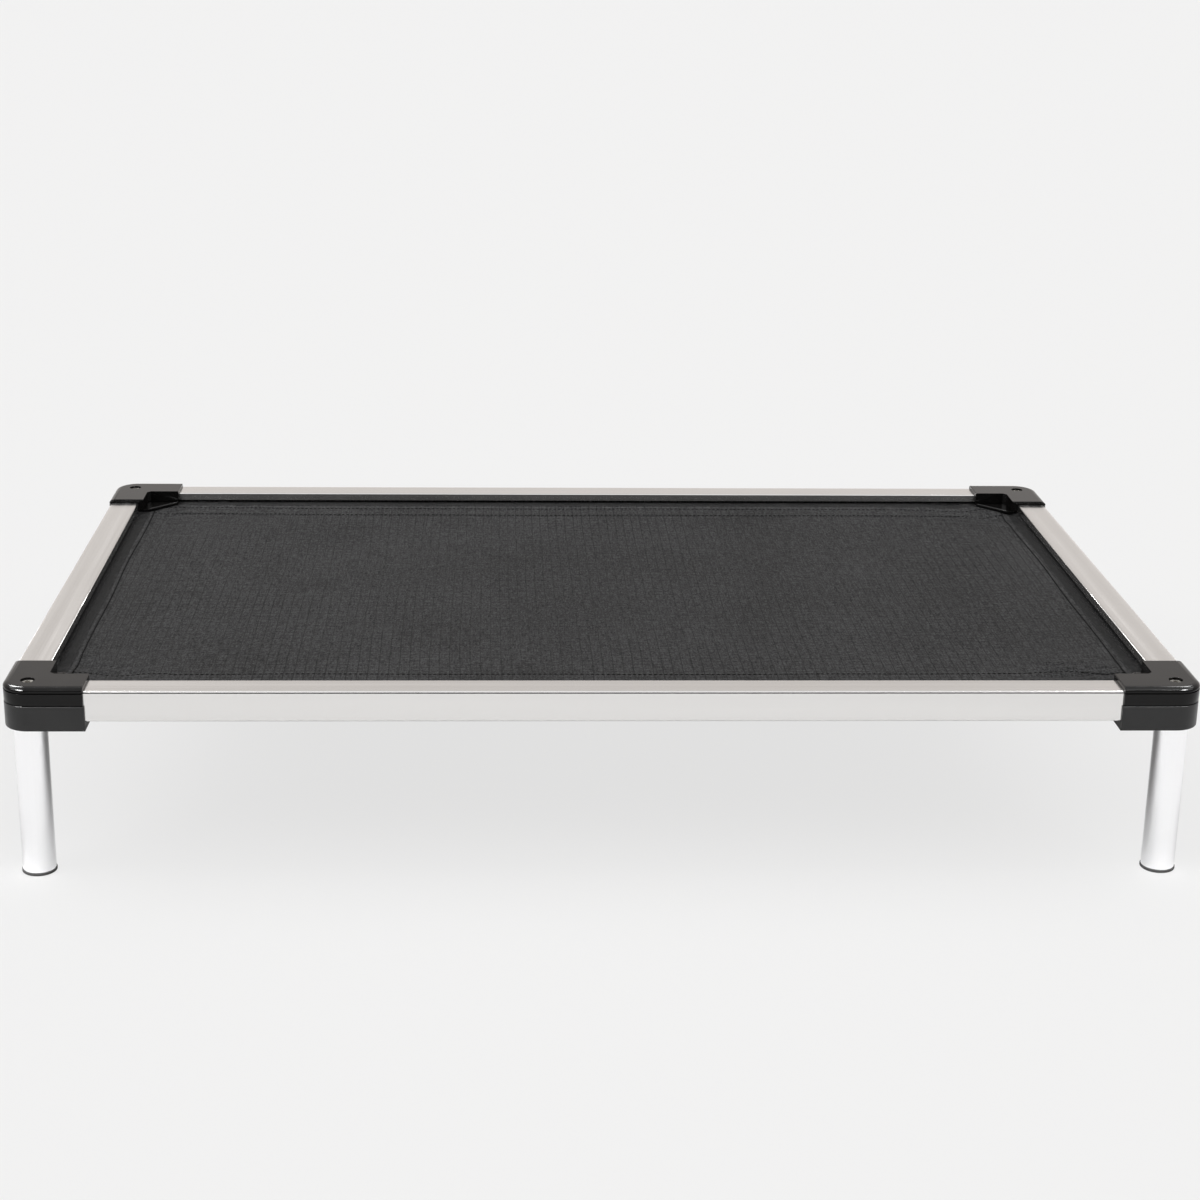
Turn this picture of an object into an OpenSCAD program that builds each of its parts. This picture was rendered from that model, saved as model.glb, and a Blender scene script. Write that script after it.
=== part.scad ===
// Raised pet bed. Four hollow aluminium rails and four round legs are joined by two-part plastic corners,
// and a fabric sheet is stretched between the rails, its edges held in the rails' channels by rods.
// Millimetres. The origin is on the floor under the middle of the bed, +Z is up and the front faces -Y.

/* [Bed] */
// Overall width, along X
bed_w = 1092; // [600:1:1400]
// Overall depth, along Y
bed_d = 700; // [400:1:1000]
// Height of the corner caps above the floor
bed_h = 187.5; // [120:0.5:300]

/* [Rails] */
// Width of a rail, seen from above
rail_w = 30.5; // [30:0.1:32]
// Height of a rail
rail_h = 29; // [28.5:0.1:31]
// Thickness of a rail's walls and webs
rail_wall = 1.8; // [1.4:0.1:2]
// Radius of a rail's bottom edges
rail_edge_r = 1.6; // [0.8:0.1:2]
// Width of the crowned strip along each top edge of a rail
crown_w = 3.5; // [1:0.1:5]
// Drop of the crowned strip from the rail's top to its side
crown_h = 0.9; // [0.5:0.1:1.5]
// Height of the groove under the outer top edge
groove_h = 1.2; // [0.6:0.1:1.5]
// Depth of the groove
groove_depth = 1.1; // [0.4:0.1:1.2]
// Width of the main chamber, across the rail
chamber_w = 15.4; // [14:0.1:15.6]
// Diameter of the channel that holds the sheet's edge
channel_d = 9.4; // [9:0.1:9.8]
// Height of the slot that the sheet comes out of
slot_h = 5; // [3:0.1:6]

/* [Corners] */
// Length of a corner's arms, from its outer faces
arm_len = 75; // [72:1:90]
// Width of the arms
arm_w = 39; // [38:0.5:40]
// Plan radius of the outer corner
corner_r = 24; // [16:1:30]
// Plan radius of the fillet in the notch between the arms
notch_r = 4; // [1:0.5:6]
// Thickness of the skirt outside a rail
skirt_t = 2.3; // [1.8:0.1:3]
// Thickness of the cap over a rail
cap_t = 3.9; // [3:0.1:5]
// Thickness of the corner under a rail
floor_t = 8.9; // [5:0.1:12]
// Height of the parting line above the bottom of a rail
parting_h = 15; // [14:0.1:15.4]
// Width of the cap's rounded outer edge
cap_edge_w = 6.5; // [2:0.1:8]
// Height of the cap's rounded outer edge
cap_edge_h = 4; // [2:0.1:4.2]
// Extra length of the lower half's arms
base_extra = 0.7; // [0:0.1:2]
// Length of a spigot inside a rail's end
spigot_len = 27; // [15:1:28]

/* [Gussets] */
// Distance from the corner to where the rim meets the arm's wall
gusset_start = 45; // [42:1:60]
// Thickness of the gusset's plate
gusset_t = 1.4; // [1:0.1:2]
// Width of the rim
rim_w = 2.4; // [1.5:0.1:3]
// Height of the rim above the plate's underside, without its rounded top
rim_h = 2.4; // [1.8:0.1:5]

/* [Legs] */
// Outer diameter of a leg
leg_d = 30.8; // [28:0.1:31]
// Thickness of the leg's wall
leg_wall = 1.6; // [1.2:0.1:2.5]
// Distance from a corner's outer faces to the leg's axis
leg_inset = 22.4; // [22:0.1:22.8]
// Thickness of the foot under the leg
foot_t = 3.3; // [2:0.1:6]
// Diameter of the foot
foot_d = 32.2; // [31:0.1:36]
// Height of the foot's plug inside the leg
plug_h = 14; // [8:1:25]
// Height of the threaded insert in the top of the leg
insert_h = 28; // [20:1:40]

/* [Bolts] */
// Diameter of the leg bolt
bolt_d = 8; // [6:1:8]
// Length of the bolt under its head
bolt_len = 35; // [20:1:40]
// Diameter of the bolt's head
head_d = 11.6; // [11:0.1:12]
// Height of the bolt's head
head_h = 4.2; // [3:0.1:5]
// Width across the flats of the head's socket
socket_w = 5; // [4:0.5:6]
// Diameter of the hole in the cap over the head
hole_d = 13; // [12.8:0.1:14]
// Depth of that hole
hole_depth = 7.4; // [7:0.1:10]
// Thickness of the washer
washer_t = 1.2; // [0.8:0.1:2]

/* [Sheet] */
// Thickness of the sheet
sheet_t = 1.2; // [0.6:0.1:1.4]
// Distance from the top of a rail down to the middle of the sheet
sheet_drop = 11.6; // [11.4:0.1:11.8]
// Diameter of a hem rod
rod_d = 6; // [4:0.5:6.5]
// Thickness of the folded sleeve round a rod
sleeve_t = 0.95; // [0.5:0.05:1]

/* [Hidden] */
$fn = 64;
// Clearance round the rails and legs inside the corners
clear = 0.15;
// Running past a face that is cut
over = 1;
// Gap between pieces that slide into each other by hand
slip = 0.1;
arc_steps = 8;
rail_top = bed_h - cap_t;
rail_bottom = rail_top - rail_h;
corner_bottom = rail_bottom - floor_t;
parting_z = rail_bottom + parting_h;
sheet_z = rail_top - sheet_drop;
groove_z = rail_h - crown_h - groove_h;
// Height and depth of the groove along the parting line, and the chamfer on the lower half's edge
parting_gap = 1;
parting_depth = 1.3;
parting_chamfer = 0.2;
// Rounding of the lower half's bottom edge
base_edge = 1.5;
// Chamfer across the ends of the cap's arms
end_chamfer = 0.8;
// Distance from a corner's outer faces to the end of a rail, and to the ends of the rod and its sleeve
rail_end = 41;
rod_end = 46;
sleeve_end = 47;
// Across a rail: the web beside the main chamber, and the channel's axis
web_y = rail_wall + chamber_w;
channel_y = rail_w - rail_wall - channel_d / 2 - slip;
channel_z = rail_h - sheet_drop;
// Thickness of the webs above and below the channel
channel_web = 1.5;
// The slot's bottom, below the channel's axis
slot_below = 1.5;
inner_skirt_y = skirt_t + rail_w;
// Gaps over the sheet, along its edge and at its cut-out corner
gap_over_sheet = 0.4;
gap_beside_sheet = 1.2;
gap_at_notch = 1;
// Underside of the inner skirt and of the gusset, just over the sheet
gusset_z = sheet_z + sheet_t / 2 + gap_over_sheet;
// Distance from the outer faces to the sheet's edge, and to its cut-out corner
sheet_edge = inner_skirt_y + gap_beside_sheet;
sheet_notch = rail_end + gap_at_notch;
leg_top = parting_z - 2 * slip;
leg_bore = leg_d - 2 * leg_wall;
head_seat = bed_h - hole_depth;
head_z = head_seat + washer_t;
// Play of the bolt in the cap, and of the washer in the hole and on the bolt
bolt_play = 0.6;
washer_play = 0.4;
// Share of the head's height that is solid under its socket
socket_floor = 0.4;
// Length of a spigot's root, inside the corner's solid end
spigot_root = 0.5;

black = "#1d1d1f";
aluminium = "#c9c7c3";

// Name, and the sides of the bed that the corner is on along X and Y
CORNERS = [["front_left", -1, -1], ["front_right", 1, -1], ["back_left", -1, 1], ["back_right", 1, 1]];
// Name, turn about Z, length of the side and distance across the bed
SIDES = [
    ["front", 0, bed_w, bed_d],
    ["right", 90, bed_d, bed_w],
    ["back", 180, bed_w, bed_d],
    ["left", 270, bed_d, bed_w]
];
CORNER_PARTS = ["corner_top", "corner_base", "leg_tube", "leg_foot", "leg_insert"];
SIDE_PARTS = ["rail", "hem_rod", "hem_sleeve"];

// Points on an arc of an ellipse
function arc(x, y, rx, ry, from, to) =
    [for (i = [0:arc_steps]) let (t = from + (to - from) * i / arc_steps) [x + rx * cos(t), y + ry * sin(t)]];

// Puts children, drawn with the outer corner at the origin and the bed along +X and +Y, at one corner
module at_corner(c) {
    translate([c[1] * bed_w / 2, c[2] * bed_d / 2, 0])
        mirror([max(c[1], 0), 0, 0])
            mirror([0, max(c[2], 0), 0])
                children();
}

// Puts children, drawn for the front with its outer face at y = 0, on one side
module on_side(s) {
    rotate([0, 0, s[1]])
        translate([0, -s[3] / 2, 0])
            children();
}

// A section of y and z, extruded along X and centred
module along_x(length) {
    translate([-length / 2, 0, 0])
        rotate([90, 0, 90])
            linear_extrude(length)
                children();
}

// Children for the arm along X, and their mirror image for the arm along Y
module both_arms() {
    children();
    mirror([1, -1, 0])
        children();
}

// Sweeps a section of depth and height round a corner's outer faces
module round_corner(length) {
    both_arms()
        translate([corner_r, 0, 0])
            rotate([90, 0, 90])
                linear_extrude(length - corner_r)
                    children();
    translate([corner_r, corner_r, 0])
        rotate([0, 0, 180])
            rotate_extrude(angle = 90)
                translate([corner_r, 0])
                    mirror([1, 0])
                        children();
}

// Plan of a corner, with its outer corner rounded and a fillet in its notch
module corner_plan(length) {
    both_arms()
        translate([corner_r, 0])
            square([length - corner_r, arm_w]);
    translate([corner_r, corner_r])
        circle(corner_r);
    difference() {
        translate([corner_r, corner_r])
            square(arm_w + notch_r - corner_r);
        translate([arm_w + notch_r, arm_w + notch_r])
            circle(notch_r);
        both_arms()
            translate([arm_w + notch_r, 0])
                square([over, arm_w + notch_r]);
    }
}

// The space that the rails' ends fill
module rail_pockets() {
    both_arms()
        translate([rail_end - clear, skirt_t - clear, rail_bottom - clear])
            cube([arm_len, rail_w + 2 * clear, rail_h + 2 * clear]);
}

// Half-height spigots that fill a rail's main chamber from one height to another
module spigots(from, to) {
    both_arms()
        translate([arm_w - spigot_root, skirt_t + rail_wall + 2 * clear, rail_bottom + from])
            cube([rail_end - arm_w + spigot_root + spigot_len, chamber_w - 4 * clear, to - from]);
}

// The outside of the cap's rounded edge, to be cut away
module cap_edge_section() {
    points = arc(cap_edge_w, bed_h - cap_edge_h, cap_edge_w, cap_edge_h, 180, 90);
    polygon(concat(
        [[-over, bed_h - cap_edge_h]],
        points,
        [[cap_edge_w, bed_h + over], [-over, bed_h + over]]
    ));
}

module base_edge_section() {
    points = arc(base_edge, corner_bottom + base_edge, base_edge, base_edge, 180, 270);
    polygon(concat(
        [[-over, corner_bottom + base_edge]],
        points,
        [[base_edge, corner_bottom - over], [-over, corner_bottom - over]]
    ));
}

module groove_section() {
    translate([-over, rail_bottom + groove_z])
        square([over + groove_depth, groove_h]);
}

// A square groove in the upper half at the parting line, over a chamfer on the lower half
module parting_section() {
    polygon([
        [-over, parting_z - parting_chamfer - over],
        [parting_chamfer, parting_z],
        [parting_depth, parting_z],
        [parting_depth, parting_z + parting_gap],
        [-over, parting_z + parting_gap]
    ]);
}

module end_chamfers() {
    both_arms()
        translate([arm_len, -over, bed_h - end_chamfer])
            rotate([-90, 0, 0])
                linear_extrude(arm_w + 2 * over)
                    polygon([
                        [-end_chamfer, -end_chamfer],
                        [over, -end_chamfer - over],
                        [over, over],
                        [0, 0]
                    ]);
}

// Plan of the gusset, moved in from its two short ends and from its long side by an inset
module gusset_plan(inset) {
    corner = arm_w - over;
    end = arm_len - inset;
    side = arm_len + gusset_start - inset * sqrt(2) - end;
    polygon([[corner, corner], [end, corner], [end, side], [side, end], [corner, end]]);
}

// Plate in the notch over the sheet's corner, with a rim that has a bead along the long side
module gusset() {
    bead_r = rim_w / 2 - clear;
    bead_start = 1.5;
    bead_len = (arm_len - gusset_start) * sqrt(2) - 2 * bead_start;
    translate([0, 0, gusset_z])
        difference() {
            linear_extrude(rim_h)
                gusset_plan(0);
            translate([0, 0, gusset_t])
                linear_extrude(rim_h)
                    gusset_plan(rim_w);
        }
    translate([arm_len, gusset_start, gusset_z + rim_h])
        rotate([0, 0, 135])
            translate([bead_start, rim_w / 2, 0])
                rotate([0, 90, 0])
                    cylinder(r = bead_r, h = bead_len);
}

module corner_top(c) {
    color(black)
        at_corner(c)
            difference() {
                union() {
                    difference() {
                        translate([0, 0, parting_z])
                            linear_extrude(bed_h - parting_z)
                                corner_plan(arm_len);
                        rail_pockets();
                        both_arms()
                            translate([rail_end - clear, inner_skirt_y, parting_z - over])
                                cube([arm_len, arm_w, gusset_z - parting_z + over]);
                        round_corner(arm_len + over)
                            cap_edge_section();
                        round_corner(arm_len + over)
                            groove_section();
                        round_corner(arm_len + over)
                            parting_section();
                        end_chamfers();
                    }
                    spigots(parting_h + clear, rail_h - rail_wall - 2 * clear);
                    gusset();
                }
                translate([leg_inset, leg_inset, parting_z - over])
                    cylinder(d = bolt_d + bolt_play, h = bed_h);
                translate([leg_inset, leg_inset, head_seat])
                    cylinder(d = hole_d, h = bed_h);
            }
}

module corner_base(c) {
    color(black)
        at_corner(c)
            difference() {
                union() {
                    difference() {
                        translate([0, 0, corner_bottom])
                            linear_extrude(parting_z - corner_bottom)
                                corner_plan(arm_len + base_extra);
                        rail_pockets();
                        round_corner(arm_len + base_extra + over)
                            base_edge_section();
                        round_corner(arm_len + base_extra + over)
                            parting_section();
                    }
                    spigots(rail_wall + 2 * clear, parting_h - clear);
                }
                translate([leg_inset, leg_inset, corner_bottom - over])
                    cylinder(d = leg_d + 2 * clear, h = bed_h);
            }
}

module leg_tube(c) {
    color(aluminium)
        at_corner(c)
            translate([leg_inset, leg_inset, foot_t])
                difference() {
                    cylinder(d = leg_d, h = leg_top - foot_t);
                    translate([0, 0, -over])
                        cylinder(d = leg_bore, h = bed_h);
                }
}

// Cap under the leg, with rounded edges and a plug inside the leg
module leg_foot(c) {
    edge = 1;
    foot_r = foot_d / 2;
    plug_r = leg_bore / 2 - slip;
    side = concat(
        arc(foot_r - edge, edge, edge, edge, 270, 360),
        arc(foot_r - edge, foot_t - edge, edge, edge, 0, 90)
    );
    color(black)
        at_corner(c)
            translate([leg_inset, leg_inset, 0])
                rotate_extrude()
                    polygon(concat(
                        [[0, 0]],
                        side,
                        [[plug_r, foot_t], [plug_r, foot_t + plug_h], [0, foot_t + plug_h]]
                    ));
}

module leg_insert(c) {
    color("silver")
        at_corner(c)
            translate([leg_inset, leg_inset, leg_top - insert_h])
                difference() {
                    cylinder(d = leg_bore - slip, h = insert_h);
                    translate([0, 0, -over])
                        cylinder(d = bolt_d + slip, h = insert_h + 2 * over);
                }
}

module leg_bolts() {
    color("silver")
        for (c = CORNERS)
            at_corner(c)
                translate([leg_inset, leg_inset, head_z])
                    difference() {
                        union() {
                            cylinder(d = head_d, h = head_h);
                            translate([0, 0, -bolt_len])
                                cylinder(d = bolt_d, h = bolt_len + head_h / 2);
                        }
                        translate([0, 0, head_h * socket_floor])
                            cylinder(d = socket_w / cos(30), h = head_h, $fn = 6);
                    }
}

module bolt_washers() {
    color("silver")
        for (c = CORNERS)
            at_corner(c)
                translate([leg_inset, leg_inset, head_seat])
                    difference() {
                        cylinder(d = hole_d - washer_play, h = washer_t);
                        translate([0, 0, -over])
                            cylinder(d = bolt_d + washer_play, h = washer_t + 2 * over);
                    }
}

// Section of a rail: outer face at y = 0 and underside at z = 0
module rail_section() {
    r = rail_edge_r;
    outline = concat(
        arc(r, r, r, r, 180, 270),
        arc(rail_w - r, r, r, r, 270, 360),
        arc(rail_w - crown_w, rail_h - crown_h, crown_w, crown_h, 0, 90),
        arc(crown_w, rail_h - crown_h, crown_w, crown_h, 90, 180)
    );
    side_y = web_y + channel_web;
    side_w = rail_w - rail_wall - side_y;
    low_h = channel_z - channel_d / 2 - channel_web - rail_wall;
    top_z = channel_z + channel_d / 2 + channel_web;
    difference() {
        polygon(outline);
        translate([rail_wall, rail_wall])
            square([chamber_w, rail_h - 2 * rail_wall]);
        translate([side_y, rail_wall])
            square([side_w, low_h]);
        translate([side_y, top_z])
            square([side_w, rail_h - rail_wall - top_z]);
        translate([channel_y, channel_z])
            circle(d = channel_d);
        translate([channel_y, channel_z - slot_below])
            square([rail_w, slot_h]);
        translate([-over, groove_z])
            square([over + groove_depth, groove_h]);
    }
}

module rail(s) {
    color(aluminium)
        on_side(s)
            translate([0, skirt_t, rail_bottom])
                along_x(s[2] - 2 * rail_end)
                    rail_section();
}

module hem_rod(s) {
    color("dimgray")
        on_side(s)
            translate([0, skirt_t + channel_y, sheet_z])
                along_x(s[2] - 2 * rod_end)
                    circle(d = rod_d);
}

// Edge of the sheet, folded round the rod, with the tab that runs out of the rail's slot
module hem_sleeve(s) {
    color("#2b2c2e")
        on_side(s)
            translate([0, 0, sheet_z])
                along_x(s[2] - 2 * sleeve_end)
                    difference() {
                        union() {
                            translate([skirt_t + channel_y, 0])
                                circle(d = rod_d + 2 * sleeve_t);
                            translate([skirt_t + channel_y, -sheet_t / 2])
                                square([sheet_edge - skirt_t - channel_y, sheet_t]);
                        }
                        translate([skirt_t + channel_y, 0])
                            circle(d = rod_d + slip);
                    }
}

module sleeping_sheet() {
    color("#2b2c2e")
        translate([0, 0, sheet_z - sheet_t / 2])
            linear_extrude(sheet_t)
                difference() {
                    square([bed_w - 2 * sheet_edge, bed_d - 2 * sheet_edge], center = true);
                    for (c = CORNERS)
                        at_corner(c)
                            square(sheet_notch);
                }
}

for (c = CORNERS) {
    corner_top(c);
    corner_base(c);
    leg_tube(c);
    leg_foot(c);
    leg_insert(c);
}
for (s = SIDES) {
    rail(s);
    hem_rod(s);
    hem_sleeve(s);
}
sleeping_sheet();
leg_bolts();
bolt_washers();
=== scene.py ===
import math
import random

import bmesh
import bpy
import numpy as np
from mathutils import Matrix, Vector


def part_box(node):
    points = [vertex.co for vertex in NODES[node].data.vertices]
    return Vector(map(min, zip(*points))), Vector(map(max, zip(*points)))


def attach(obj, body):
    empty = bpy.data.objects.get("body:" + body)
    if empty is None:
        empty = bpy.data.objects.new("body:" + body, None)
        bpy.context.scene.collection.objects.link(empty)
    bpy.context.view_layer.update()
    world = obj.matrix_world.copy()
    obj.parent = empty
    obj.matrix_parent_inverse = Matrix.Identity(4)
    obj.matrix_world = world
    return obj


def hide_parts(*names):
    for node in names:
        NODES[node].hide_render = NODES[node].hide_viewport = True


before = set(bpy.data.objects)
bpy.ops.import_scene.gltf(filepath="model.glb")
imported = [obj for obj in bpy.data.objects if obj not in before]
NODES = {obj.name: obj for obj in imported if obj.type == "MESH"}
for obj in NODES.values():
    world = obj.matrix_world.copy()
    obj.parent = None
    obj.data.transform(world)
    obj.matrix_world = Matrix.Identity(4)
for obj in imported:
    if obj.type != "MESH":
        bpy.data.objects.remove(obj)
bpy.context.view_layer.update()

SCENE = bpy.context.scene
MM = 0.001
random.seed(11)
RNG = np.random.default_rng(11)


# ---------------------------------------------------------------- camera, stage and light

# The camera stands about 2.3 m in front of the bed, a little left of its middle, and looks down at it.
CAMERA_AT = Vector((-0.1080, -2.2479, 0.8962))
CAMERA_PITCH = 0.3179
CAMERA_YAW = -0.0338
CAMERA_ROLL = -0.0116
CAMERA_LENS = 67.46
CAMERA_SHIFT = (0.0333, 0.0)


def make_camera():
    data = bpy.data.cameras.new("camera")
    data.lens = CAMERA_LENS
    data.sensor_width = 36
    data.shift_x, data.shift_y = CAMERA_SHIFT
    camera = bpy.data.objects.new("camera", data)
    SCENE.collection.objects.link(camera)
    turn = (
        Matrix.Rotation(CAMERA_YAW, 4, "Z")
        @ Matrix.Rotation(math.pi / 2 - CAMERA_PITCH, 4, "X")
        @ Matrix.Rotation(-CAMERA_ROLL, 4, "Z")
    )
    camera.matrix_world = Matrix.Translation(CAMERA_AT) @ turn
    SCENE.camera = camera


# Softboxes, as seen from the bed: azimuth and height of the middle, half width and half height, all in
# degrees with azimuth 0 at the front and 90 at the right, then strength.
SOFTBOXES = (
    (-64, 38, 26, 12, 4.3),
    (63, 38, 26, 12, 2.8),
    (-88, 66, 20, 8, 3.8),
    (88, 66, 20, 8, 3.2),
    (118, 48, 16, 8, 3.2),
    (-118, 48, 16, 8, 3.2),
)
# The back wall catches a warm light, and the room in front of the bed stays dim.
FRONT_WALL = 0.04
BACK_WALL = 0.63
BACK_TINT = (1.05, 0.995, 0.955)
# The back wall's gain at the horizon, and how much it falls with each degree of height
LOW_WALL_GAIN = 1.34
LOW_WALL_FALL = 0.016
CEILING = 1.0
# Where the back wall takes over from the front one, as a share of the way back, and the ceiling from the
# walls, in degrees of height
BACK_FROM, BACK_TO = -0.5, 0.75
CEILING_FROM, CEILING_TO = 24, 52
SOFTBOX_EDGE = 1.5
# The floor's tone and glow: seen and mirrored it is evened out, as a studio floor is. Then the tone of the
# light that it throws back, its half size in metres, and the tone of the backdrop behind it.
FLOOR_SEEN = (0.10, 0.742)
FLOOR_MIRRORED = (0.56, 0.13)
FLOOR_BOUNCE = 0.68
FLOOR_GLOW = (1.0, 0.998, 0.996, 1)
FLOOR_HALF = 40
BACKDROP = 0.885


def make_world():
    """A pale studio: dim walls, a bright ceiling panel, and softboxes, all far away."""
    world = bpy.data.worlds.new("studio")
    SCENE.world = world
    world.use_nodes = True
    tree = world.node_tree
    tree.nodes.clear()

    def math_node(operation, a, b=None):
        made = tree.nodes.new("ShaderNodeMath")
        made.operation = operation
        for socket, value in zip(made.inputs, (a, b)):
            if isinstance(value, (int, float)):
                socket.default_value = value
            elif value is not None:
                tree.links.new(value, socket)
        return made.outputs[0]

    def window(value, low, high):
        """1 between low and high, 0 outside, with soft sides."""
        middle, half = (low + high) / 2, (high - low) / 2
        off = math_node("ABSOLUTE", math_node("SUBTRACT", value, middle))
        made = tree.nodes.new("ShaderNodeMapRange")
        made.interpolation_type = "SMOOTHSTEP"
        made.inputs["From Min"].default_value = half + SOFTBOX_EDGE
        made.inputs["From Max"].default_value = half - SOFTBOX_EDGE
        tree.links.new(off, made.inputs["Value"])
        return made.outputs[0]

    coords = tree.nodes.new("ShaderNodeTexCoord").outputs["Generated"]
    split = tree.nodes.new("ShaderNodeSeparateXYZ")
    tree.links.new(coords, split.inputs[0])
    x, y, z = split.outputs
    degrees = 180 / math.pi
    height = math_node("MULTIPLY", math_node("ARCSINE", z), degrees)
    behind = tree.nodes.new("ShaderNodeMapRange")
    behind.interpolation_type = "SMOOTHSTEP"
    behind.inputs["From Min"].default_value = BACK_FROM
    behind.inputs["From Max"].default_value = BACK_TO
    behind.inputs["To Min"].default_value = FRONT_WALL
    behind.inputs["To Max"].default_value = BACK_WALL
    tree.links.new(y, behind.inputs["Value"])
    up = tree.nodes.new("ShaderNodeMapRange")
    up.interpolation_type = "SMOOTHSTEP"
    up.inputs["From Min"].default_value = CEILING_FROM
    up.inputs["From Max"].default_value = CEILING_TO
    tree.links.new(height, up.inputs["Value"])
    low_part = math_node("MULTIPLY", behind.outputs[0], math_node("SUBTRACT", 1, up.outputs[0]))
    # The back wall is brightest low down
    fall = math_node("SUBTRACT", LOW_WALL_GAIN, math_node("MULTIPLY", height, LOW_WALL_FALL))
    low_part = math_node("MULTIPLY", low_part, fall)
    total = math_node("MULTIPLY", up.outputs[0], CEILING)
    for azimuth, middle, half_w, half_h, strength in SOFTBOXES:
        turn = math.radians(azimuth)
        along_x, along_y = math.sin(turn), -math.cos(turn)
        forward = math_node("ADD", math_node("MULTIPLY", x, along_x), math_node("MULTIPLY", y, along_y))
        across = math_node("ADD", math_node("MULTIPLY", x, -along_y), math_node("MULTIPLY", y, along_x))
        around = math_node("MULTIPLY", math_node("ARCTAN2", across, forward), degrees)
        box = math_node(
            "MULTIPLY",
            window(around, -half_w, half_w),
            window(height, middle - half_h, middle + half_h),
        )
        total = math_node("ADD", total, math_node("MULTIPLY", box, strength))
    warm = tree.nodes.new("ShaderNodeVectorMath")
    warm.operation = "MULTIPLY_ADD"
    tree.links.new(low_part, warm.inputs[0])
    warm.inputs[1].default_value = BACK_TINT
    tree.links.new(total, warm.inputs[2])
    lit, seen = (tree.nodes.new("ShaderNodeBackground") for _ in range(2))
    tree.links.new(warm.outputs[0], lit.inputs["Color"])
    seen.inputs["Color"].default_value = (BACKDROP, BACKDROP, BACKDROP, 1)
    path = tree.nodes.new("ShaderNodeLightPath")
    mix = tree.nodes.new("ShaderNodeMixShader")
    tree.links.new(path.outputs["Is Camera Ray"], mix.inputs["Fac"])
    tree.links.new(lit.outputs[0], mix.inputs[1])
    tree.links.new(seen.outputs[0], mix.inputs[2])
    out = tree.nodes.new("ShaderNodeOutputWorld")
    tree.links.new(mix.outputs[0], out.inputs["Surface"])
    world.cycles.sampling_method = "MANUAL"
    world.cycles.sample_map_resolution = 512


# Strip lights that only show as highlights: azimuth and height as above, half width and half height in
# degrees, and brightness.
STRIPS = (
    (-52, 48, 17, 6, 130),
    (52, 50, 13, 6, 105),
    (-149, 41, 9, 5, 30),
    (148, 41, 6, 5, 15),
)
STRIP_DISTANCE = 14


def make_strips():
    for number, (azimuth, height, half_w, half_h, strength) in enumerate(STRIPS):
        data = bpy.data.lights.new(f"strip_{number}", "AREA")
        data.shape = "RECTANGLE"
        data.size = 2 * STRIP_DISTANCE * math.tan(math.radians(half_w)) * math.cos(math.radians(height))
        data.size_y = 2 * STRIP_DISTANCE * math.tan(math.radians(half_h))
        data.energy = strength * math.pi * data.size * data.size_y
        light = bpy.data.objects.new(f"strip_{number}", data)
        SCENE.collection.objects.link(light)
        a, h = math.radians(azimuth), math.radians(height)
        away = Vector((math.sin(a) * math.cos(h), -math.cos(a) * math.cos(h), math.sin(h)))
        light.location = away * STRIP_DISTANCE
        light.rotation_mode = "QUATERNION"
        light.rotation_quaternion = (-away).to_track_quat("-Z", "Y")
        light.visible_diffuse = False
        light.visible_camera = False


def make_stage():
    data = bpy.data.meshes.new("floor")
    corners = [(FLOOR_HALF * x, FLOOR_HALF * y, 0) for x, y in ((-1, -1), (1, -1), (1, 1), (-1, 1))]
    data.from_pydata(corners, [], [(0, 1, 2, 3)])
    floor = bpy.data.objects.new("floor", data)
    SCENE.collection.objects.link(floor)
    material = new_material("pale_floor")
    w = Wiring(material)
    w.set(Roughness=0.9, Specular_IOR_Level=0.0)
    path = w.node("ShaderNodeLightPath")
    seen, mirrored = path.outputs["Is Camera Ray"], path.outputs["Is Glossy Ray"]
    rest = w.math("SUBTRACT", w.math("SUBTRACT", 1.0, seen), mirrored)

    def by_ray(camera, glossy, other):
        total = w.math("ADD", w.math("MULTIPLY", seen, camera), w.math("MULTIPLY", mirrored, glossy))
        return w.math("ADD", total, w.math("MULTIPLY", rest, other))

    tone = by_ray(FLOOR_SEEN[0], FLOOR_MIRRORED[0], FLOOR_BOUNCE)
    glow = by_ray(FLOOR_SEEN[1], FLOOR_MIRRORED[1], 0.0)
    w.set(Base_Color=tone, Emission_Color=FLOOR_GLOW, Emission_Strength=glow)
    data.materials.append(material)


# ---------------------------------------------------------------- materials


def new_material(name):
    material = bpy.data.materials.new(name)
    material.use_nodes = True
    tree = material.node_tree
    tree.nodes.clear()
    out = tree.nodes.new("ShaderNodeOutputMaterial")
    out.name = "out"
    shader = tree.nodes.new("ShaderNodeBsdfPrincipled")
    shader.name = "shader"
    tree.links.new(shader.outputs[0], out.inputs["Surface"])
    return material


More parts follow.
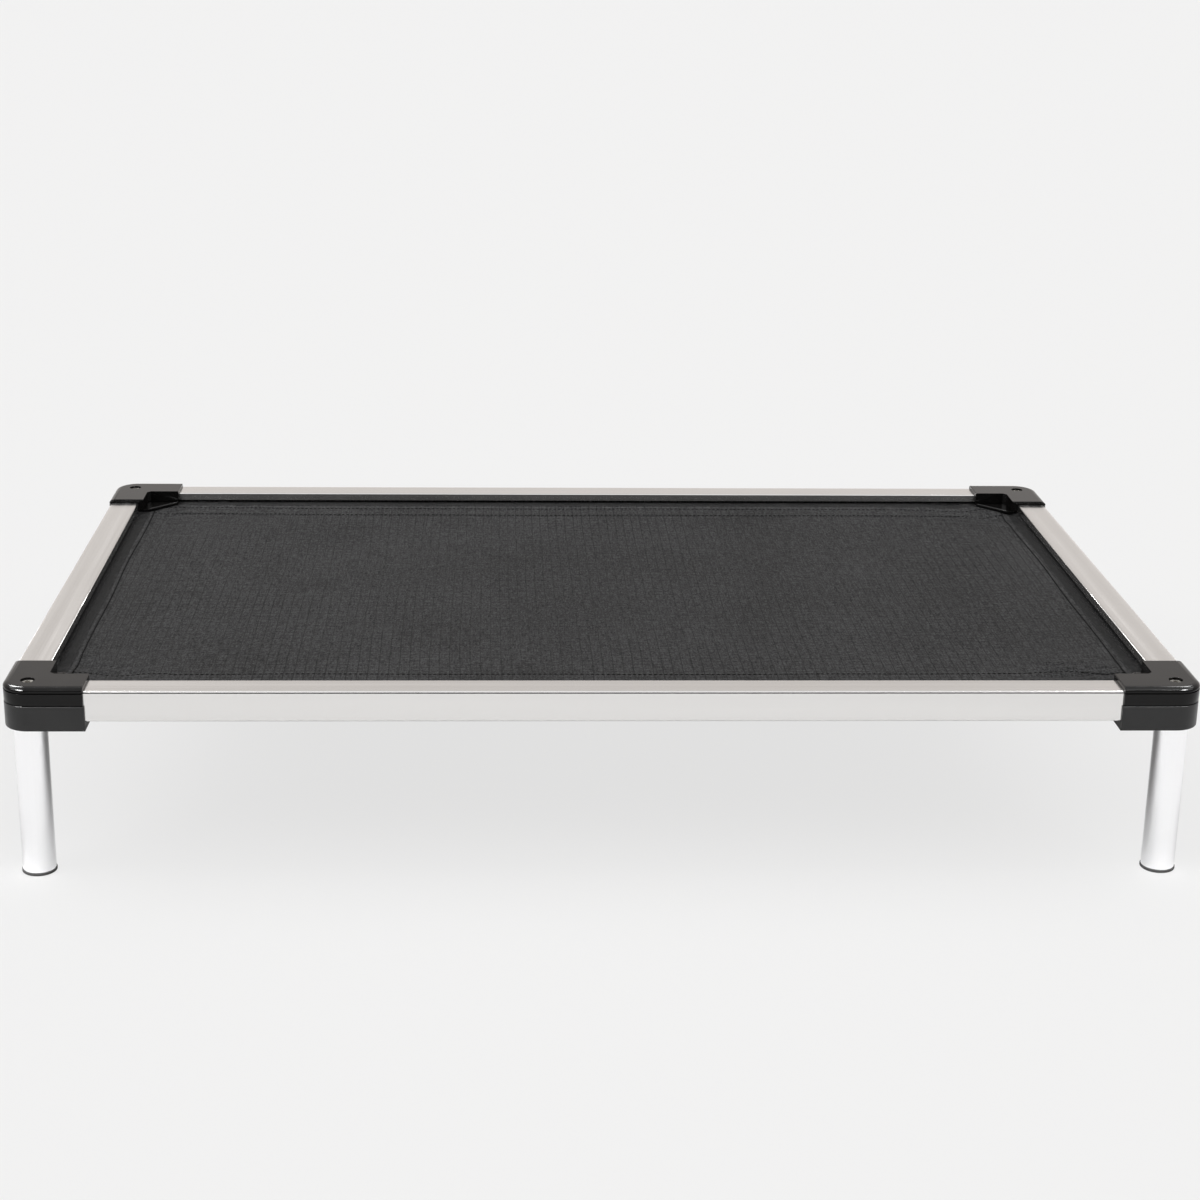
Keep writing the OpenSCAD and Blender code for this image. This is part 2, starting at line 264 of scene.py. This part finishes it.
class Wiring:
    """Short calls for adding and joining a material's nodes."""

    def __init__(self, material):
        self.tree = material.node_tree
        self.shader = self.tree.nodes["shader"]
        self.coords = self.tree.nodes.new("ShaderNodeTexCoord").outputs["Object"]

    def node(self, kind, **settings):
        made = self.tree.nodes.new(kind)
        for key, value in settings.items():
            setattr(made, key, value)
        return made

    def link(self, a, b):
        self.tree.links.new(a, b)

    def scaled(self, scale, turn=(0, 0, 0)):
        mapping = self.node("ShaderNodeMapping")
        mapping.inputs["Scale"].default_value = scale
        mapping.inputs["Rotation"].default_value = turn
        self.link(self.coords, mapping.inputs["Vector"])
        return mapping.outputs[0]

    def noise(self, scale, detail=3.0, roughness=0.5, spread=(1, 1, 1), turn=(0, 0, 0)):
        made = self.node("ShaderNodeTexNoise")
        made.inputs["Scale"].default_value = scale
        made.inputs["Detail"].default_value = detail
        made.inputs["Roughness"].default_value = roughness
        self.link(self.scaled(spread, turn), made.inputs["Vector"])
        return made.outputs["Fac"]

    def math(self, operation, a, b=None):
        made = self.node("ShaderNodeMath", operation=operation)
        for socket, value in zip(made.inputs, (a, b)):
            if value is None:
                continue
            if isinstance(value, (int, float)):
                socket.default_value = value
            else:
                self.link(value, socket)
        return made.outputs[0]

    def ramp(self, value, low, high, from_=0.0, to=1.0):
        """A value from one range to another."""
        made = self.node("ShaderNodeMapRange")
        made.inputs["From Min"].default_value = from_
        made.inputs["From Max"].default_value = to
        made.inputs["To Min"].default_value = low
        made.inputs["To Max"].default_value = high
        self.link(value, made.inputs["Value"])
        return made.outputs[0]

    def tones(self, value, dark, light, from_=0.3, to=0.7):
        made = self.node("ShaderNodeValToRGB")
        made.color_ramp.elements[0].position = from_
        made.color_ramp.elements[0].color = (*dark, 1)
        made.color_ramp.elements[1].position = to
        made.color_ramp.elements[1].color = (*light, 1)
        self.link(value, made.inputs["Fac"])
        return made.outputs["Color"]

    def bump(self, height, distance, strength=1.0):
        made = self.node("ShaderNodeBump")
        made.inputs["Distance"].default_value = distance
        made.inputs["Strength"].default_value = strength
        self.link(height, made.inputs["Height"])
        return made.outputs[0]

    def painted_cavity_shade(self, distance, least, open_at=0.70):
        """Painted shade: 1 in the open, falling to least in grooves and slots that the light hardly reaches.
        """
        made = self.node("ShaderNodeAmbientOcclusion", samples=6)
        made.inputs["Distance"].default_value = distance
        return self.ramp(made.outputs["AO"], least, 1.0, 0.25, open_at)

    def shaded(self, colour, value):
        made = self.node("ShaderNodeVectorMath", operation="SCALE")
        self.link(colour, made.inputs[0])
        self.link(value, made.inputs["Scale"])
        return made.outputs[0]

    def set(self, **values):
        for key, value in values.items():
            socket = self.shader.inputs[key.replace("_", " ")]
            if hasattr(value, "links") or isinstance(value, bpy.types.NodeSocket):
                self.link(value, socket)
            else:
                socket.default_value = value


def drawn_aluminium(name, along, light, dark, roughness, lines):
    """Aluminium with fine lines along one axis, left by the die that it was drawn through, and painted shade
    in its grooves.
    """
    material = new_material(name)
    w = Wiring(material)
    spread = [1.0, 1.0, 1.0]
    spread["XYZ".index(along)] = 0.004
    fine = w.noise(lines, 5, 0.62, spread)
    broad = w.noise(lines * 0.12, 2, 0.5, spread)
    cloudy = w.noise(9, 3, 0.5)
    mixed = w.math("ADD", w.math("MULTIPLY", fine, 0.55), w.math("MULTIPLY", broad, 0.45))
    worn = w.ramp(mixed, roughness - 0.06, roughness + 0.08, 0.3, 0.7)
    # The colour is darkened by painted shade in grooves and slots.
    w.set(
        Base_Color=w.shaded(w.tones(mixed, dark, light), w.painted_cavity_shade(2 * MM, 0.25)),
        Metallic=1.0,
        Roughness=w.math("ADD", worn, w.ramp(cloudy, -0.03, 0.03)),
        Normal=w.bump(mixed, 0.00002, 0.25),
    )
    return material


def moulded_plastic(name, tone, roughness, grain, shine):
    """Black nylon with a fine spark-eroded grain, faint flow marks in its gloss, and painted shade in its
    hollows.
    """
    material = new_material(name)
    w = Wiring(material)
    flow = w.noise(35, 4, 0.55)
    fine = w.noise(2600, 2, 0.6)
    pale = tuple(c * 1.25 for c in tone)
    # Painted shade in hollows: it darkens the colour and takes the gloss away there.
    painted_shade_factor = w.painted_cavity_shade(3 * MM, 0.0, 0.92)
    w.set(
        Base_Color=w.shaded(w.tones(flow, tone, pale), painted_shade_factor),
        Roughness=w.ramp(flow, roughness - 0.05, roughness + 0.06, 0.3, 0.7),
        Normal=w.bump(fine, 0.00004, grain),
        Specular_IOR_Level=w.math("MULTIPLY", painted_shade_factor, shine),
    )
    return material


def rubber(name):
    material = new_material(name)
    w = Wiring(material)
    dust = w.noise(160, 4, 0.6)
    w.set(
        Base_Color=w.tones(dust, (0.020, 0.020, 0.020), (0.036, 0.035, 0.034)),
        Roughness=w.ramp(dust, 0.6, 0.8, 0.3, 0.7),
        Normal=w.bump(w.noise(1800, 2), 0.00005, 0.4),
    )
    return material


def turned_steel(name):
    material = new_material(name)
    w = Wiring(material)
    marks = w.noise(900, 4, 0.6)
    w.set(
        Base_Color=w.tones(marks, (0.24, 0.23, 0.21), (0.40, 0.38, 0.35)),
        Metallic=1.0,
        Roughness=w.ramp(marks, 0.26, 0.40, 0.3, 0.7),
        Normal=w.bump(marks, 0.00002, 0.4),
    )
    return material


# Spacing of the cloth's grid of heavier yarns and of its plain yarns, and its two tones
RIPSTOP_PITCH = 9.6 * MM
YARN_PITCH = 0.55 * MM
FABRIC_DARK = (0.006, 0.006, 0.0062)
FABRIC_LIGHT = (0.052, 0.052, 0.053)


def ripstop(name):
    """Coated black cloth: a plain weave with a heavier yarn at each line of a square grid."""
    material = new_material(name)
    w = Wiring(material)
    split = w.node("ShaderNodeSeparateXYZ")
    w.link(w.coords, split.inputs[0])
    x, y = split.outputs["X"], split.outputs["Y"]

    def wave(value, pitch):
        turned = w.math("MULTIPLY", value, math.pi / pitch)
        return w.math("ABSOLUTE", w.math("SINE", turned))

    def grid_line(value, drift):
        """1 on a grid line, 0 between the lines."""
        near = wave(w.math("ADD", value, drift), RIPSTOP_PITCH)
        return w.ramp(near, 1.0, 0.0, 0.08, 0.24)

    def drift(spread):
        return w.ramp(w.noise(6, 3, 0.5, spread), -0.0022, 0.0022, 0.3, 0.7)

    across = grid_line(x, drift((1, 0.35, 1)))
    along = grid_line(y, drift((0.35, 1, 1)))
    lines = w.math("MAXIMUM", across, w.math("MULTIPLY", along, 0.8))
    faded = w.math("MULTIPLY", lines, w.ramp(w.noise(5, 2, 0.5), 0.35, 1.0, 0.35, 0.65))
    weave = w.math("MULTIPLY", wave(x, YARN_PITCH), wave(y, YARN_PITCH))
    slubs = w.math("ADD", w.noise(700, 3, 0.6, (0.18, 1, 1)), w.noise(700, 3, 0.6, (1, 0.12, 1)))
    mottle = w.noise(520, 5, 0.8)
    cloud = w.noise(7, 4, 0.6)
    streaks = w.ramp(w.noise(70, 3, 0.6, (0.05, 1.7, 1), (0, 0, 0.12)), 0.0, 1.0, 0.64, 0.74)
    streaks = w.math("MULTIPLY", streaks, w.ramp(w.noise(6, 2, 0.5), 0.0, 1.0, 0.48, 0.60))
    grain = w.ramp(mottle, -0.62, 0.62, 0.34, 0.66)
    tone = w.math("ADD", grain, w.ramp(slubs, -0.40, 0.40, 0.75, 1.25))
    tone = w.math("ADD", tone, w.ramp(cloud, 0.34, 0.60, 0.3, 0.7))
    tone = w.math("ADD", tone, w.math("MULTIPLY", streaks, 0.45))
    # Painted shadow beside the rails and dark seams, partly painted shade, read from the sheet's mesh
    seam = w.node("ShaderNodeAttribute", attribute_name="hem_painted_shade").outputs["Fac"]
    dark = w.math("MAXIMUM", w.math("MULTIPLY", faded, 0.78), seam)
    tone = w.math("MULTIPLY", tone, w.math("SUBTRACT", 1.0, dark))
    height = w.math("ADD", w.math("MULTIPLY", weave, 0.4), w.math("MULTIPLY", mottle, 0.9))
    height = w.math("SUBTRACT", height, w.math("MULTIPLY", faded, 0.9))
    w.set(
        Base_Color=w.tones(tone, FABRIC_DARK, FABRIC_LIGHT, 0.0, 1.0),
        Roughness=w.ramp(cloud, 0.55, 0.65, 0.3, 0.7),
        Normal=w.bump(height, 0.00022, 0.7),
        Specular_IOR_Level=0.03,
    )
    return material


def sewing_thread(name):
    material = new_material(name)
    w = Wiring(material)
    ply = w.noise(2500, 2)
    w.set(
        Base_Color=w.tones(ply, (0.004, 0.004, 0.004), (0.010, 0.010, 0.010)),
        Roughness=w.ramp(ply, 0.4, 0.6, 0.3, 0.7),
        Normal=w.bump(ply, 0.00005, 0.6),
        Specular_IOR_Level=0.0,
    )
    return material


# ---------------------------------------------------------------- carried-over CAD nodes

CORNERS = ("front_left", "front_right", "back_left", "back_right")
SIDES = ("front", "right", "back", "left")
# Points closer than this are one, faces flatter than this are joined, and edges sharper than this are
# rounded by the amount below it.
WELD_GAP = 0.01 * MM
FLAT_ANGLE = math.radians(0.4)
SHARP_ANGLE = math.radians(32)
PLASTIC_EDGE = 0.35 * MM
RAIL_TONES = ((0.795, 0.785, 0.773), (0.725, 0.716, 0.706))
LEG_TONES = ((0.99, 0.99, 1.0), (0.95, 0.95, 0.96))
CAP_TONE = (0.0042, 0.0040, 0.0039)
BASE_TONE = (0.011, 0.011, 0.011)


def soften(node, width):
    """Welds points, joins flat faces and, given a width, rounds sharp edges a little on a CAD node, by
    modifiers; its custom normals are dropped.
    """
    piece = NODES[node]
    if "custom_normal" in piece.data.attributes:
        piece.data.attributes.remove(piece.data.attributes["custom_normal"])
    weld = piece.modifiers.new("weld", "WELD")
    weld.merge_threshold = WELD_GAP
    flatten = piece.modifiers.new("flatten", "DECIMATE")
    flatten.decimate_type = "DISSOLVE"
    flatten.angle_limit = FLAT_ANGLE
    if width:
        bevel = piece.modifiers.new("bevel", "BEVEL")
        bevel.width = width
        bevel.segments = 3
        bevel.limit_method = "ANGLE"
        bevel.angle_limit = SHARP_ANGLE
        bevel.use_clamp_overlap = True
        bevel.miter_outer = "MITER_ARC"


def paint(node, material):
    data = NODES[node].data
    data.materials.clear()
    data.materials.append(material)
    data.polygons.foreach_set("material_index", [0] * len(data.polygons))


def dress_cad_nodes():
    rails_x, rails_y = (
        drawn_aluminium("rail_aluminium_" + along.lower(), along, *RAIL_TONES, roughness=0.18, lines=900)
        for along in "XY"
    )
    legs = drawn_aluminium("leg_aluminium", "Z", *LEG_TONES, roughness=0.07, lines=700)
    cap = moulded_plastic("cap_plastic_look", CAP_TONE, roughness=0.11, grain=0.12, shine=0.20)
    base = moulded_plastic("base_plastic_look", BASE_TONE, roughness=0.34, grain=0.45, shine=0.39)
    feet = rubber("foot_rubber_look")
    steel = turned_steel("bolt_steel_look")
    hidden_cloth = ripstop("sleeve_cloth")
    for side in SIDES:
        paint("rail_" + side, rails_x if side in ("front", "back") else rails_y)
        paint("hem_rod_" + side, base)
        paint("hem_sleeve_" + side, hidden_cloth)
        soften("rail_" + side, 0)
    for corner in CORNERS:
        paint("corner_top_" + corner, cap)
        paint("corner_base_" + corner, base)
        paint("leg_tube_" + corner, legs)
        paint("leg_foot_" + corner, feet)
        paint("leg_insert_" + corner, steel)
        soften("corner_top_" + corner, PLASTIC_EDGE)
        soften("corner_base_" + corner, PLASTIC_EDGE)
    paint("leg_bolts", steel)
    paint("bolt_washers", steel)


# ---------------------------------------------------------------- the stretched sheet

RAIL_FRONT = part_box("rail_front")
RAIL_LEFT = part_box("rail_left")
SHEET_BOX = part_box("sleeping_sheet")
SHEET_Z = (SHEET_BOX[0].z + SHEET_BOX[1].z) / 2
# Half sizes of the opening between the rails' inner faces
INNER_X = -RAIL_LEFT[1].x
INNER_Y = -RAIL_FRONT[1].y
# How far the cloth runs into the rails' slots, and the clear square cut from each corner
TUCK = 3 * MM
CLOTH_X = INNER_X + TUCK
CLOTH_Y = INNER_Y + TUCK
CORNER_CUT = 12 * MM
CLOTH_THICK = 0.7 * MM
# Distances in from the rails: the fold round the rod, and the seams beside the short and the long rails
FOLD_EDGE = 13 * MM
SIDE_SEAMS = (18.5 * MM,)
END_SEAMS = (24 * MM, 48 * MM)
HEM_MARGIN = 3 * MM
SEAM_WANDER = 1.2 * MM
# Width of the grooves and shades along the seams, and of the turn at the fold
SEAM_GROOVE = 1.1 * MM
SEAM_SHADE = 1.2 * MM
FOLD_TURN = 4 * MM
# What each layer of the hem adds in height, how wide the steps at its fold and at its inner edge are, and how
# deep the thread pulls into it
HEM_LAYER = 0.5 * MM
FOLD_STEP = 1.2 * MM
HEM_STEP = 3 * MM
SEAM_DIP = 0.2 * MM
# How dark the cloth is painted: beside the rails, a painted shadow; at a seam of a short edge and at the two
# of a long edge, dark lines that are partly painted shade
PAINTED_RAIL_SHADOW = 0.84
SHADE_SIDE_SEAM = 0.95
SHADE_END_SEAM = 0.35
# The simulated cloth: spacing of its points, frames, mass of a point, stiffness, damping and shrinkage
SIM_STEP = 12 * MM
SIM_FRAMES = 40
SIM_QUALITY = 6
SIM_MASS = 0.02
SIM_STRETCH = 40
SIM_SHEAR = 20
SIM_BEND = 5
SIM_DAMPING = 10
SIM_AIR = 4
SHRINK = 0.003
# Its edge is gathered towards the corners over these frames, by this much within this reach, and starts
# with small puckers along the edge and small bumps inside it.
GATHER_FRAMES = 20
GATHER = 1.8 * MM
GATHER_REACH = 0.11
PUCKER = 0.35 * MM
START_BUMPS = 0.15 * MM
BUMP_WAVES = 14
BUMP_TURNS = 90
TOUCHING = 1e-6


def grid_mesh(name, xs, ys, z):
    """A grid of quads over xs and ys."""
    nx, ny = len(xs), len(ys)
    points = np.empty((ny, nx, 3))
    points[..., 0] = xs[None, :]
    points[..., 1] = ys[:, None]
    points[..., 2] = z
    index = np.arange(nx * ny).reshape(ny, nx)
    quads = np.stack([index[:-1, :-1], index[:-1, 1:], index[1:, 1:], index[1:, :-1]], -1).reshape(-1, 4)
    data = bpy.data.meshes.new(name)
    data.from_pydata(points.reshape(-1, 3).tolist(), [], quads.tolist())
    return data


def smooth_noise(count, knots, size):
    """Seeded noise that changes smoothly along a line of points."""
    values = RNG.uniform(-size, size, knots)
    at = np.linspace(0, knots - 1, count)
    low = np.clip(at.astype(int), 0, knots - 2)
    t = at - low
    t = t * t * (3 - 2 * t)
    return values[low] * (1 - t) + values[low + 1] * t


def simulate_sheet():
    """Cloth held in the rails' slots, gathered a little at its corners, settles under its own weight."""
    nx = round(2 * CLOTH_X / SIM_STEP) + 1
    ny = round(2 * CLOTH_Y / SIM_STEP) + 1
    xs = np.linspace(-CLOTH_X, CLOTH_X, nx)
    ys = np.linspace(-CLOTH_Y, CLOTH_Y, ny)
    data = grid_mesh("sheet_sim", xs, ys, 0.0)
    cloth = bpy.data.objects.new("sheet_sim", data)
    SCENE.collection.objects.link(cloth)
    flat = np.array([v.co for v in data.vertices])
    x, y = flat[:, 0], flat[:, 1]
    side_edge, end_edge = np.abs(x) > CLOTH_X - TOUCHING, np.abs(y) > CLOTH_Y - TOUCHING
    edge = side_edge | end_edge
    start = flat.copy()
    near_corner = np.exp(-((CLOTH_X - np.abs(x)) / GATHER_REACH) - ((CLOTH_Y - np.abs(y)) / GATHER_REACH))
    start[:, 0] -= np.sign(x) * GATHER * near_corner
    start[:, 1] -= np.sign(y) * GATHER * near_corner
    pucker = smooth_noise(nx, nx // 4, PUCKER)[np.arange(len(flat)) % nx]
    pucker += smooth_noise(ny, ny // 4, PUCKER)[np.arange(len(flat)) // nx]
    start[:, 0] += pucker * end_edge
    start[:, 1] += pucker * side_edge
    bumps = 0
    for _ in range(BUMP_WAVES):
        size, turns_x, turns_y = RNG.uniform(0.5, 1), *RNG.uniform(-BUMP_TURNS, BUMP_TURNS, 2)
        bumps = bumps + size * np.sin(x * turns_x + y * turns_y + RNG.uniform(0, 6))
    flat[:, 2] += START_BUMPS * bumps * ~edge
    start[:, 2] = flat[:, 2]
    data.vertices.foreach_set("co", flat.astype(np.float32).ravel())
    cloth.shape_key_add(name="Basis")
    gathered = cloth.shape_key_add(name="gathered")
    gathered.data.foreach_set("co", start.astype(np.float32).ravel())
    group = cloth.vertex_groups.new(name="held")
    group.add([int(i) for i in np.nonzero(edge)[0]], 1.0, "REPLACE")
    modifier = cloth.modifiers.new("cloth", "CLOTH")
    settings = modifier.settings
    settings.quality = SIM_QUALITY
    settings.mass = SIM_MASS
    settings.tension_stiffness = settings.compression_stiffness = SIM_STRETCH
    settings.shear_stiffness = SIM_SHEAR
    settings.bending_stiffness = SIM_BEND
    settings.tension_damping = settings.compression_damping = SIM_DAMPING
    settings.shear_damping = SIM_DAMPING
    settings.air_damping = SIM_AIR
    settings.vertex_group_mass = "held"
    settings.shrink_min = SHRINK
    modifier.collision_settings.use_collision = False
    modifier.point_cache.frame_start = 1
    modifier.point_cache.frame_end = SIM_FRAMES
    for frame_number, value in ((1, 0.0), (GATHER_FRAMES, 1.0)):
        gathered.value = value
        gathered.keyframe_insert("value", frame=frame_number)
    for frame_number in range(1, SIM_FRAMES + 1):
        SCENE.frame_set(frame_number)
    settled = cloth.evaluated_get(bpy.context.evaluated_depsgraph_get()).data
    heights = np.array([v.co.z for v in settled.vertices]).reshape(ny, nx)
    SCENE.frame_set(1)
    bpy.data.objects.remove(cloth)
    return xs, ys, heights


def sample(field, x, y):
    """Smooth values of a field, given as (xs, ys, values), at points x and y."""
    xs, ys, values = field

    def weights(at, line):
        place = (at - line[0]) / (line[1] - line[0])
        base = np.clip(place.astype(int), 1, len(line) - 3)
        t = place - base
        return base, [
            -0.5 * t + t**2 - 0.5 * t**3,
            1 - 2.5 * t**2 + 1.5 * t**3,
            0.5 * t + 2 * t**2 - 1.5 * t**3,
            -0.5 * t**2 + 0.5 * t**3,
        ]

    column, wx = weights(x, xs)
    row, wy = weights(y, ys)
    total = np.zeros_like(x)
    for j in range(4):
        for i in range(4):
            total += values[row + j - 1, column + i - 1] * wx[i] * wy[j]
    return total


def step(value, at, width):
    """0 below at, 1 above it, turning smoothly over width."""
    t = np.clip((value - at) / width + 0.5, 0, 1)
    return t * t * (3 - 2 * t)


def wander(along):
    """How far a seam strays sideways at a place along it, as hand-guided sewing does."""
    return SEAM_WANDER * np.sin(along * 19.0) * np.sin(along * 7.3 + 1.0)


def hem_places(x, y):
    """Distance in from the short rails and from the long ones, each with its seams and how dark they are."""
    from_side, from_end = INNER_X - np.abs(x), INNER_Y - np.abs(y)
    return (
        (from_side + wander(y) * step(from_side, FOLD_EDGE, FOLD_TURN), SIDE_SEAMS, SHADE_SIDE_SEAM),
        (from_end + wander(x) * step(from_end, FOLD_EDGE, FOLD_TURN), END_SEAMS, SHADE_END_SEAM),
    )


def ridge(value, at, width):
    """1 at one value, falling off smoothly on both sides of it."""
    return np.exp(-(((value - at) / width) ** 2))


def hem_profile(x, y):
    """Height that the folded and sewn edges add to the sheet."""
    height = 0
    for depth, seams, _ in hem_places(x, y):
        layer = HEM_LAYER * (1 - step(depth, seams[-1] + HEM_MARGIN, HEM_STEP))
        layer += HEM_LAYER * (1 - step(depth, FOLD_EDGE, FOLD_STEP))
        for seam in seams:
            layer -= SEAM_DIP * ridge(depth, seam, SEAM_GROOVE)
        height = np.maximum(height, layer)
    return height


def painted_hem_shade(x, y):
    """How dark the cloth is painted, 0 to 1: at the seams, dark lines that are partly painted shade, and a
    painted shadow where the rails keep the light off it.
    """
    shade = 0
    for depth, seams, line in hem_places(x, y):
        shade = np.maximum(shade, PAINTED_RAIL_SHADOW * (1 - step(depth, FOLD_EDGE, FOLD_TURN)))
        for seam in seams:
            shade = np.maximum(shade, line * ridge(depth, seam, SEAM_SHADE))
    return shade


# Creases where the cloth is gathered beside each gusset: height, spacing, slant, the strip beside the long
# rail that they fill, and where they start and end along it
CREASE = 1.8 * MM
CREASE_PITCH = 17 * MM
CREASE_SLANT = 0.12
CREASE_MIDDLE = 58 * MM
CREASE_SPREAD = 24 * MM
CREASE_START = 30 * MM
CREASE_REACH = 0.10


def creases(x, y):
    """Short creases, nearly parallel to the long rails, that fade out into the sheet."""
    from_side, from_end = INNER_X - np.abs(x), INNER_Y - np.abs(y)
    stray = 5 * MM * np.sin(x * 31.0 + y * 9.0) + 3 * MM * np.sin(x * 71.0 + 2.0)
    wave = np.sin((from_end + CREASE_SLANT * from_side + stray) / CREASE_PITCH * 2 * math.pi)
    near_end = ridge(from_end, CREASE_MIDDLE, CREASE_SPREAD)
    near_side = step(from_side, CREASE_START, 12 * MM) * (1 - step(from_side, CREASE_REACH, 45 * MM))
    uneven = 0.6 + 0.4 * np.sin(x * 5.0 + y * 3.0 + 0.6)
    return CREASE * wave * near_end * near_side * uneven


# The sheet's top stays below this under the gussets, which reach this far in from the rails.
UNDER_GUSSET = SHEET_BOX[1].z + 0.25 * MM
GUSSET_REACH = 46 * MM


# Spacing of the sheet's points in its hems and in its middle, and how far the fine ones go past the hems
FINE_STEP = 0.5 * MM
COARSE_STEP = 5 * MM
FINE_SPARE = 4 * MM


def border_steps(half, border, fine, coarse):
    """Places along a line from -half to half, close together near both ends."""
    edge = np.arange(0, border, fine)
    middle = np.linspace(-half + border, half - border, round(2 * (half - border) / coarse) + 1)
    return np.concatenate([-half + edge, middle, half - edge[::-1]])


def sheet_height(field, x, y):
    height = SHEET_Z + sample(field, x, y) + hem_profile(x, y) + creases(x, y)
    under_gusset = (np.abs(x) > INNER_X - GUSSET_REACH) & (np.abs(y) > INNER_Y - GUSSET_REACH)
    return np.where(under_gusset, np.minimum(height, UNDER_GUSSET), height)


def make_sheet(field, material):
    edge = TUCK + HEM_MARGIN + FINE_SPARE
    xs = border_steps(CLOTH_X, SIDE_SEAMS[-1] + edge, FINE_STEP, COARSE_STEP)
    ys = border_steps(CLOTH_Y, END_SEAMS[-1] + edge, FINE_STEP, COARSE_STEP)
    data = grid_mesh("sleeping_sheet_cloth", xs, ys, 0.0)
    co = np.array([v.co for v in data.vertices])
    co[:, 2] = sheet_height(field, co[:, 0], co[:, 1])
    data.vertices.foreach_set("co", co.astype(np.float32).ravel())
    # The painted shadow beside the rails and the seams' dark lines, partly painted shade, kept on the sheet's
    # points
    seam = data.attributes.new("hem_painted_shade", "FLOAT", "POINT")
    seam.data.foreach_set("value", painted_hem_shade(co[:, 0], co[:, 1]).astype(np.float32))
    sheet = bpy.data.objects.new("sleeping_sheet_cloth", data)
    SCENE.collection.objects.link(sheet)
    mesh = bmesh.new()
    mesh.from_mesh(data)
    cut = [
        v for v in mesh.verts
        if abs(v.co.x) > CLOTH_X - CORNER_CUT and abs(v.co.y) > CLOTH_Y - CORNER_CUT
    ]
    bmesh.ops.delete(mesh, geom=cut, context="VERTS")
    for face in mesh.faces:
        face.smooth = True
    mesh.to_mesh(data)
    mesh.free()
    data.materials.append(material)
    thick = sheet.modifiers.new("thickness", "SOLIDIFY")
    thick.thickness = CLOTH_THICK
    thick.offset = -1
    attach(sheet, "root")
    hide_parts("sleeping_sheet")
    return sheet


# The stitches' spacing and length, the thread's radius, how high its middle arches over its ends and how deep
# those go, how far it stands over the cloth, and how much each stitch is turned
STITCH_PITCH = 4.9 * MM
STITCH_LENGTH = 3.3 * MM
STITCH_R = 0.55 * MM
STITCH_ARCH = 0.22 * MM
STITCH_SUNK = 0.16 * MM
STITCH_OVER = 0.10 * MM
STITCH_TURN = 0.07
STITCH_RINGS, STITCH_SIDES = 7, 6


def stitch_template():
    """A short thread that dips into the cloth at both ends: rings of points along X."""
    rings, sides = STITCH_RINGS, STITCH_SIDES
    points, faces = [], []
    for i in range(rings):
        t = i / (rings - 1)
        swell = math.sin(math.pi * (0.08 + 0.84 * t)) ** 0.5
        lift = STITCH_ARCH * math.sin(math.pi * t) - STITCH_SUNK
        for j in range(sides):
            a = 2 * math.pi * j / sides
            points.append((
                (t - 0.5) * STITCH_LENGTH,
                STITCH_R * swell * math.cos(a),
                lift + STITCH_R * swell * math.sin(a),
            ))
    for i in range(rings - 1):
        for j in range(sides):
            k = (j + 1) % sides
            faces.append((i * sides + j, (i + 1) * sides + j, (i + 1) * sides + k, i * sides + k))
    faces.append(tuple(range(sides)))
    faces.append(tuple((rings - 1) * sides + j for j in reversed(range(sides))))
    return np.array(points), faces


def stitch_places(field):
    """Middle point and direction of each stitch of the seams on all four sides."""
    places = []
    for along_x in (True, False):
        for seam in END_SEAMS if along_x else SIDE_SEAMS:
            half_long = (INNER_X - SIDE_SEAMS[-1]) if along_x else (INNER_Y - END_SEAMS[0])
            half_across = (INNER_Y if along_x else INNER_X) - seam
            count = int(2 * half_long / STITCH_PITCH)
            for sign in (-1, 1):
                for i in range(count):
                    s = -half_long + (i + 0.5) * 2 * half_long / count
                    across = sign * (half_across + wander(s))
                    x, y = (s, across) if along_x else (across, s)
                    places.append((x, y, 0.0 if along_x else math.pi / 2))
    return places


def make_stitches(field, material):
    template, template_faces = stitch_template()
    places = stitch_places(field)
    at = np.array([(p[0], p[1]) for p in places])
    z = sheet_height(field, at[:, 0], at[:, 1])
    points, faces = [], []
    for n, (x, y, turn) in enumerate(places):
        turn += random.uniform(-STITCH_TURN, STITCH_TURN)
        c, s = math.cos(turn), math.sin(turn)
        moved = template.copy()
        moved[:, 0] = template[:, 0] * c - template[:, 1] * s + x
        moved[:, 1] = template[:, 0] * s + template[:, 1] * c + y
        moved[:, 2] = template[:, 2] + z[n] + STITCH_OVER
        base = n * len(template)
        points.append(moved)
        faces.extend(tuple(base + i for i in f) for f in template_faces)
    data = bpy.data.meshes.new("hem_stitches")
    data.from_pydata(np.concatenate(points).tolist(), [], faces)
    data.polygons.foreach_set("use_smooth", [True] * len(data.polygons))
    data.materials.append(material)
    stitches = bpy.data.objects.new("hem_stitches", data)
    SCENE.collection.objects.link(stitches)
    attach(stitches, "root")
    return stitches


# ---------------------------------------------------------------- the whole scene


def main():
    SCENE.view_settings.view_transform = "Standard"
    make_camera()
    make_world()
    make_stage()
    make_strips()
    dress_cad_nodes()
    field = simulate_sheet()
    sheet = make_sheet(field, ripstop("sheet_cloth"))
    stitches = make_stitches(field, sewing_thread("hem_thread"))


main()
